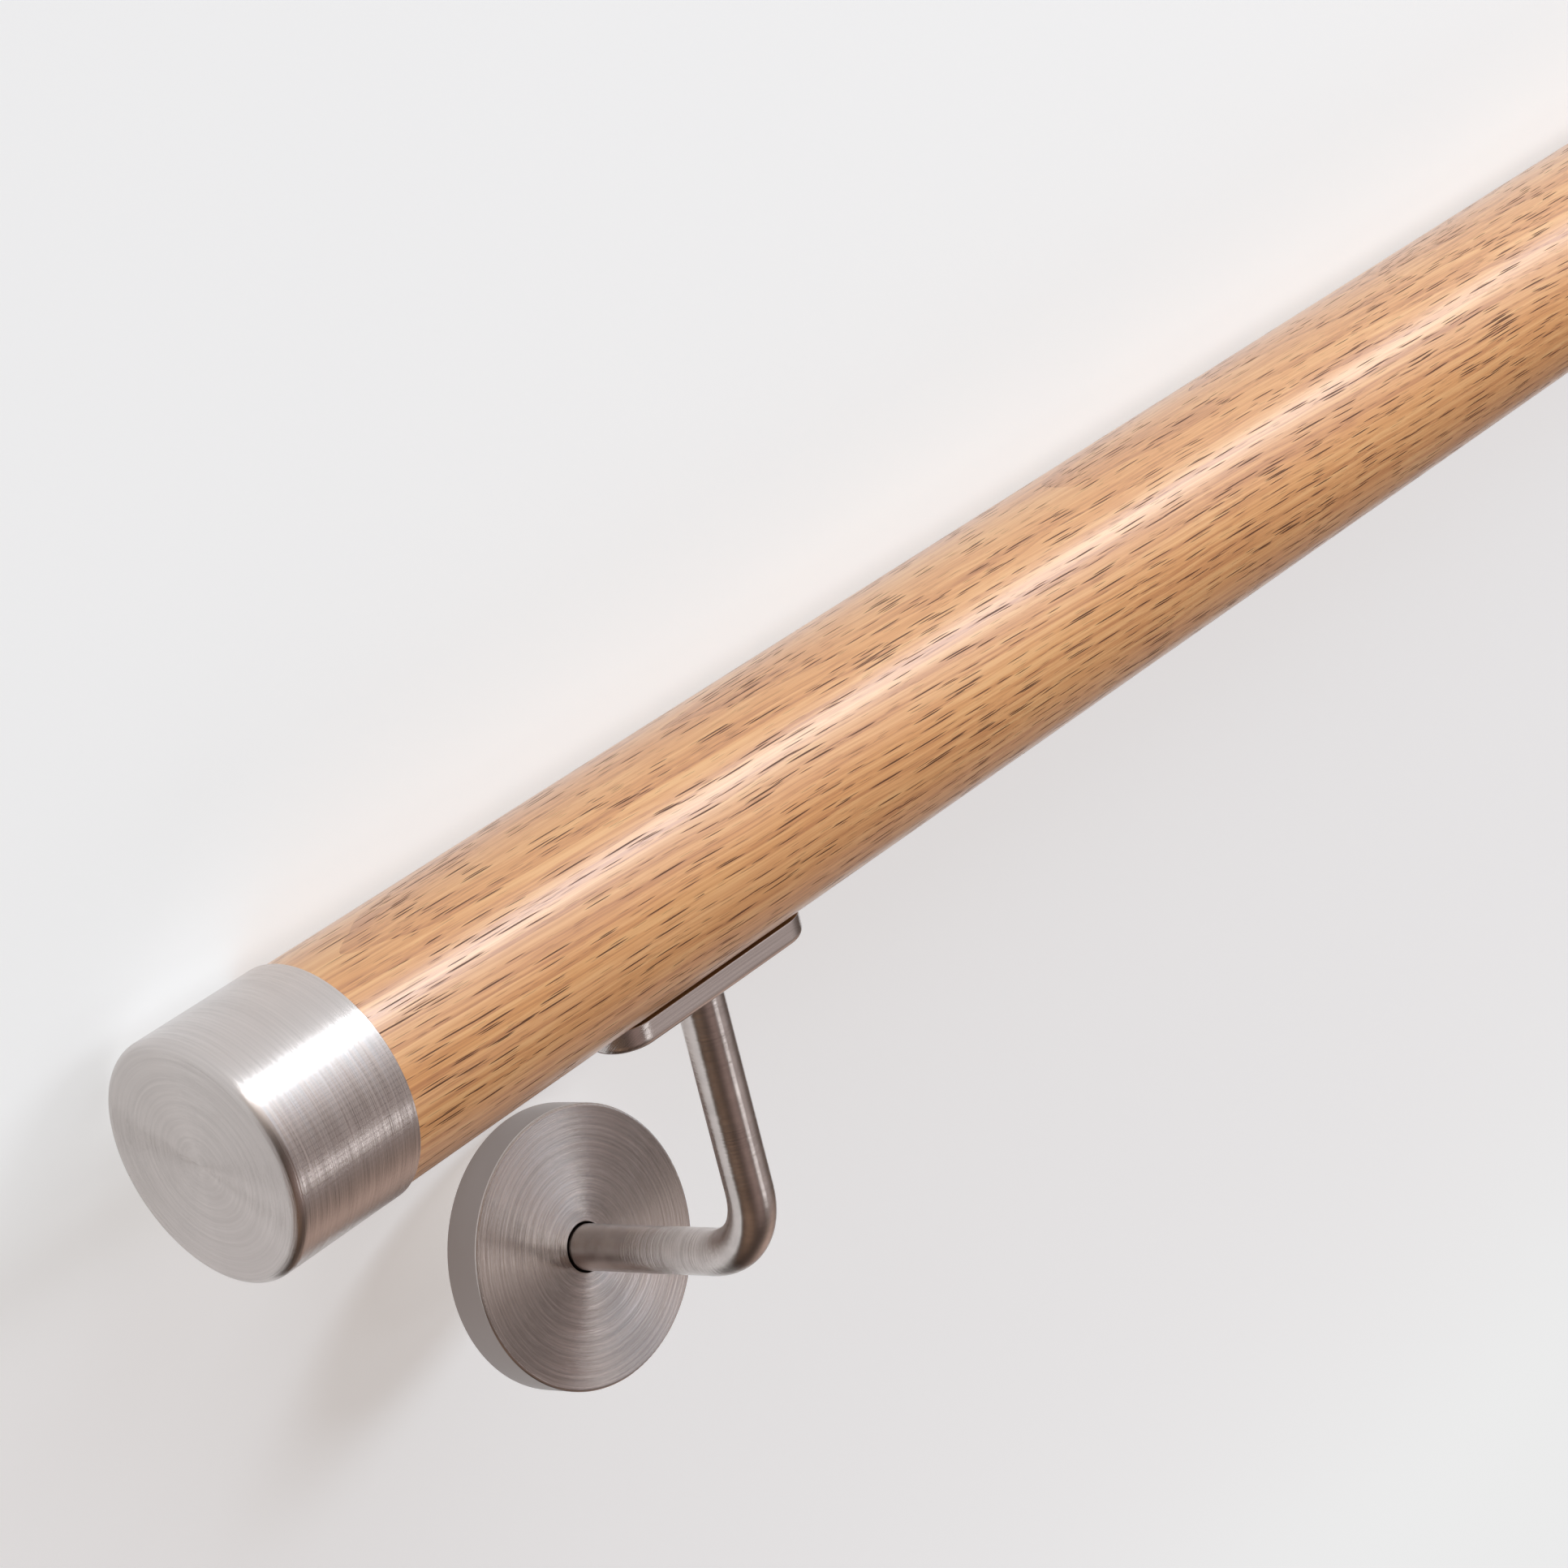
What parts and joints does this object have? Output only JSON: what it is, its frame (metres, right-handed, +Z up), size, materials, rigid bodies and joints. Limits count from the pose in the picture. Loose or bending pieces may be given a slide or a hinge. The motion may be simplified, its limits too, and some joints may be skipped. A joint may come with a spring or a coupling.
{
  "type": "stair handrail length",
  "caption": "Round oak stair handrail with brushed steel end caps on bent-rod wall brackets, each with a saddle plate, a screwed wall flange and a cover rosette",
  "frame": {"origin": "middle of the footprint, on the floor that the rail lies on", "axes": "+X along the rail, +Z up from the floor, -Y towards the brackets' wall plates"},
  "size_m": [1, 0.1576, 0.0652],
  "materials": {
    "oak": "oak under clear satin lacquer",
    "cap_steel": "stainless steel, brushed round the side and in rings on the end face",
    "saddle_steel": "stainless steel, brushed lengthwise",
    "arm_steel": "stainless steel rod, satin ground",
    "flange_steel": "stainless steel, plain",
    "rosette_steel": "stainless steel, turned in fine rings on the front face"
  },
  "bodies": {
    "root": {"oak_rail": "oak", "end_cap_left": "cap_steel", "saddle_plate_left": "saddle_steel", "arm_left": "arm_steel", "wall_flange_left": "flange_steel", "cover_rosette_left": "rosette_steel", "end_cap_right": "cap_steel", "saddle_plate_right": "saddle_steel", "arm_right": "arm_steel", "wall_flange_right": "flange_steel", "cover_rosette_right": "rosette_steel"}
  },
  "joints": []
}
